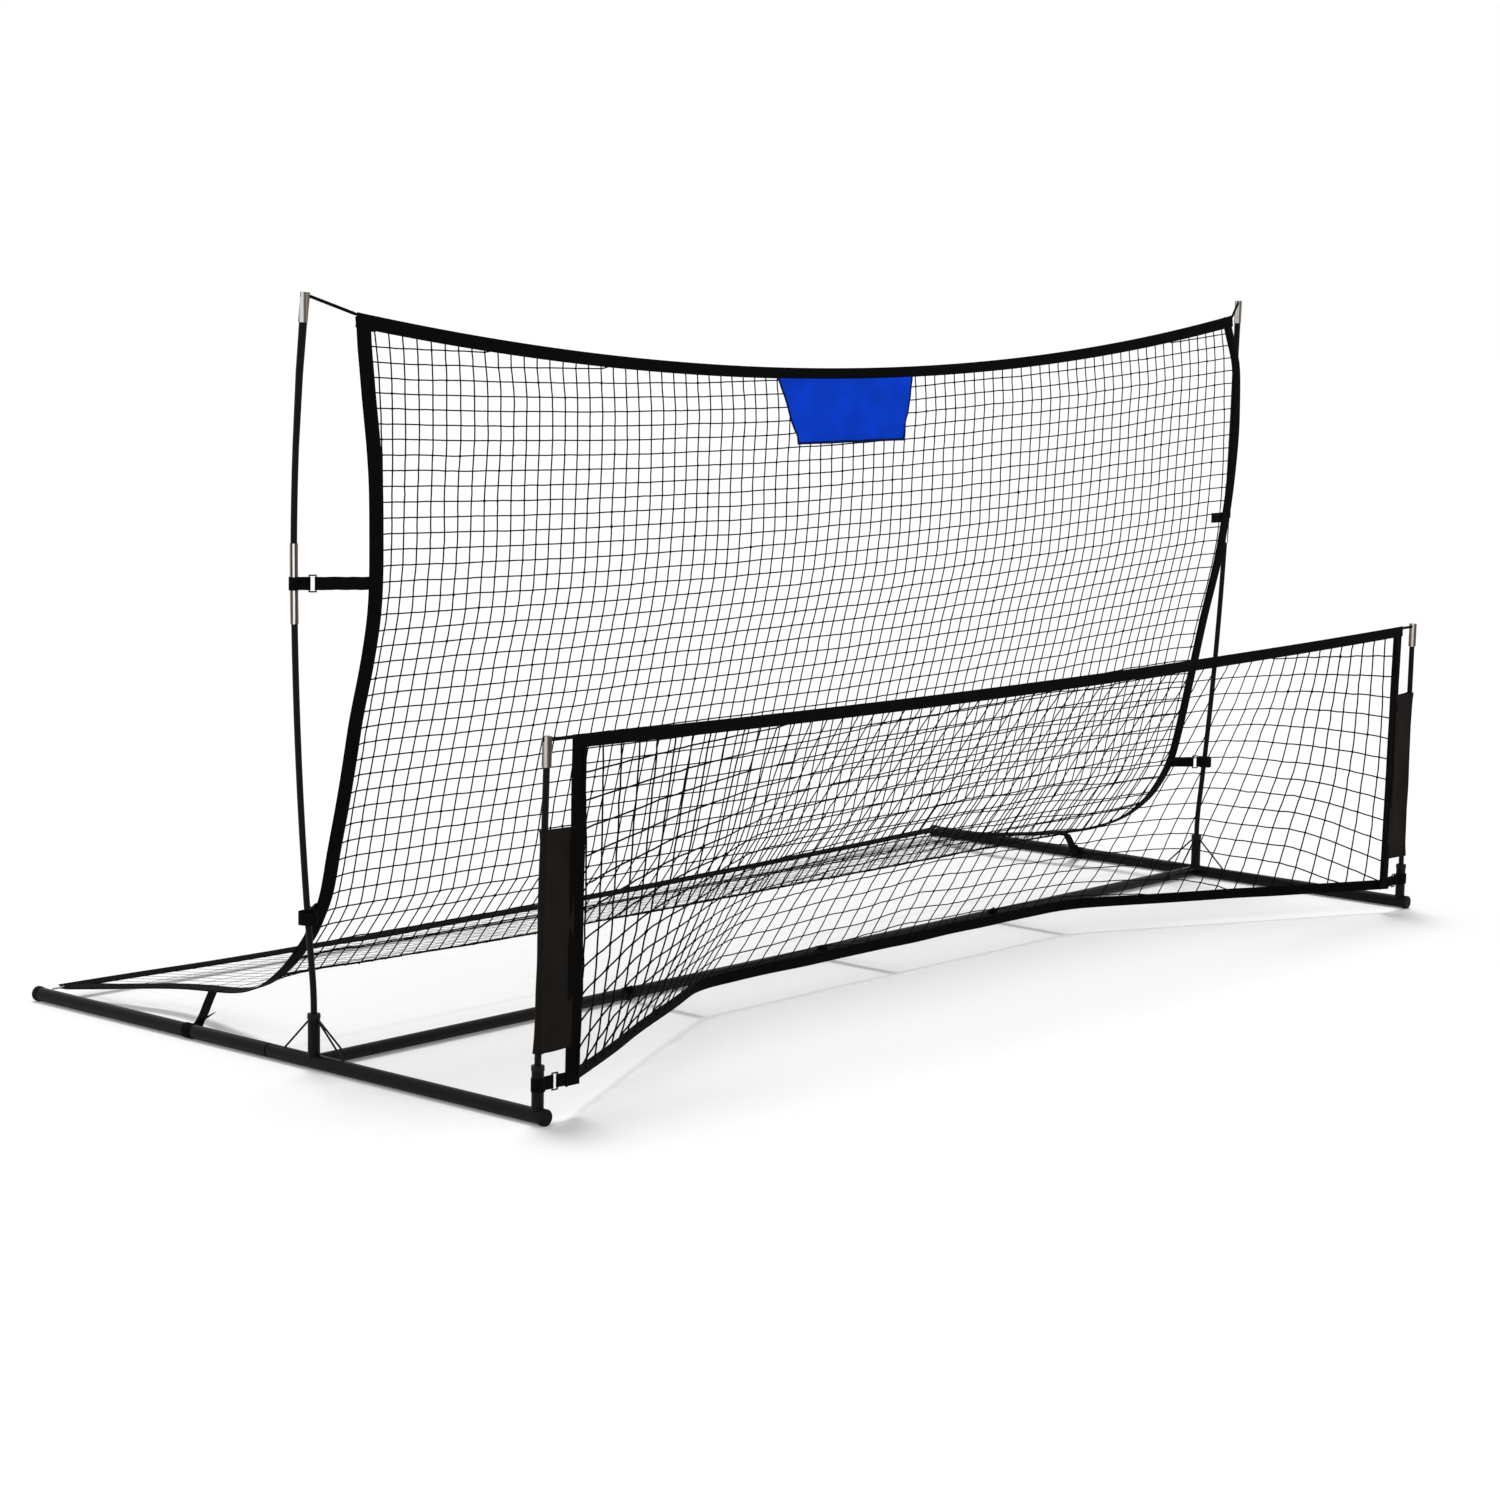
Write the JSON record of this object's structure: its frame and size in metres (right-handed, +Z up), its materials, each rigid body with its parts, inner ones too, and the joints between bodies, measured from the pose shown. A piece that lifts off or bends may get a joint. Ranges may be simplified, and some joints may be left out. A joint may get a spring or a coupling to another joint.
{
  "type": "pitch back rebounder",
  "caption": "Two-sided football rebounder: tube base frame, tall bowed net that curves into a ramp, and a low net drawn back by straps.",
  "frame": {"origin": "on the ground below the middle of the base frame", "axes": "+X along the cross tube, to the right as seen from the low net's side; +Y from the low net to the ramp's end; +Z up"},
  "size_m": [3.1932, 1.5, 1.4907],
  "materials": {
    "black_tube": "satin black powder coat",
    "cap_rubber": "matt moulded rubber",
    "bush_plastic": "moulded black plastic",
    "clip_steel": "spring steel",
    "button_steel": "blackened steel",
    "webbing": "woven webbing",
    "elastic_cord": "pale elastic cord",
    "ring_steel": "bright zinc plate",
    "black_pole": "satin black lacquer",
    "nickel": "bright nickel plate",
    "corner_cord": "braided cord",
    "netting": "knotted twine",
    "band_fabric": "folded and sewn woven band",
    "flap_fabric": "blue woven fabric with hemmed edges",
    "sleeve_fabric": "brown-black woven fabric"
  },
  "bodies": {
    "base_frame": {"side_tube_front_left": "black_tube", "side_tube_front_right": "black_tube", "side_tube_rear_left": "black_tube", "side_tube_rear_right": "black_tube", "cross_stubs": "black_tube", "cross_tube_left": "black_tube", "cross_tube_middle": "black_tube", "cross_tube_right": "black_tube", "tall_socket_left": "black_tube", "tall_socket_right": "black_tube", "front_socket_left": "black_tube", "front_socket_right": "black_tube", "brace_rods_left": "black_tube", "brace_rods_right": "black_tube", "end_caps": "cap_rubber", "tall_bushes": "bush_plastic", "front_bushes": "bush_plastic", "clip_springs": "clip_steel", "ground_strap_left": "webbing", "ground_strap_right": "webbing", "rear_corner_cords": "elastic_cord", "cross_straps": "webbing", "front_corner_straps": "webbing", "front_corner_rings": "ring_steel"},
    "tall_frame": {"tall_pole_lower_left": "black_pole", "tall_pole_lower_right": "black_pole", "tall_pole_upper_left": "black_pole", "tall_pole_upper_right": "black_pole", "mid_ferrules": "nickel", "tall_tip_ferrules": "nickel", "top_corner_cords": "corner_cord", "mid_straps": "webbing", "mid_strap_rings": "ring_steel", "lower_straps": "webbing", "lower_strap_rings": "ring_steel", "tall_net": "netting", "tall_top_band": "band_fabric", "tall_side_band_left": "band_fabric", "tall_side_band_right": "band_fabric", "tall_rear_band": "band_fabric", "flap": "flap_fabric"},
    "front_frame": {"front_pole_left": "black_pole", "front_pole_right": "black_pole", "front_tip_ferrules": "nickel", "front_corner_cords": "corner_cord", "pole_sleeve_left": "sleeve_fabric", "pole_sleeve_right": "sleeve_fabric", "front_net": "netting", "front_top_band": "band_fabric", "front_side_band_left": "band_fabric", "front_side_band_right": "band_fabric", "front_bottom_band": "band_fabric"},
    "side_button_left_piece": {"side_button_left": "button_steel"},
    "side_button_right_piece": {"side_button_right": "button_steel"},
    "outer_button_left_piece": {"outer_button_left": "button_steel"},
    "outer_button_right_piece": {"outer_button_right": "button_steel"},
    "inner_button_left_piece": {"inner_button_left": "button_steel"},
    "inner_button_right_piece": {"inner_button_right": "button_steel"}
  },
  "joints": [
    {"name": "tall_frame_lift", "type": "slide", "parent": "base_frame", "child": "tall_frame", "axis": [0, 0, 1], "range_m": [0, 0.1]},
    {"name": "front_frame_lift", "type": "slide", "parent": "base_frame", "child": "front_frame", "axis": [0, 0, 1], "range_m": [0, 0.1]},
    {"name": "side_button_left_press", "type": "slide", "parent": "base_frame", "child": "side_button_left_piece", "axis": [-1, 0, 0], "range_m": [0, 0.0028], "stiffness_N_per_m": 2500, "springref_m": -0.003},
    {"name": "side_button_right_press", "type": "slide", "parent": "base_frame", "child": "side_button_right_piece", "axis": [1, 0, 0], "range_m": [0, 0.0028], "stiffness_N_per_m": 2500, "springref_m": -0.003},
    {"name": "outer_button_left_press", "type": "slide", "parent": "base_frame", "child": "outer_button_left_piece", "axis": [0, -1, 0], "range_m": [0, 0.0028], "stiffness_N_per_m": 2500, "springref_m": -0.003},
    {"name": "outer_button_right_press", "type": "slide", "parent": "base_frame", "child": "outer_button_right_piece", "axis": [0, -1, 0], "range_m": [0, 0.0028], "stiffness_N_per_m": 2500, "springref_m": -0.003},
    {"name": "inner_button_left_press", "type": "slide", "parent": "base_frame", "child": "inner_button_left_piece", "axis": [0, -1, 0], "range_m": [0, 0.0028], "stiffness_N_per_m": 2500, "springref_m": -0.003},
    {"name": "inner_button_right_press", "type": "slide", "parent": "base_frame", "child": "inner_button_right_piece", "axis": [0, -1, 0], "range_m": [0, 0.0028], "stiffness_N_per_m": 2500, "springref_m": -0.003}
  ]
}
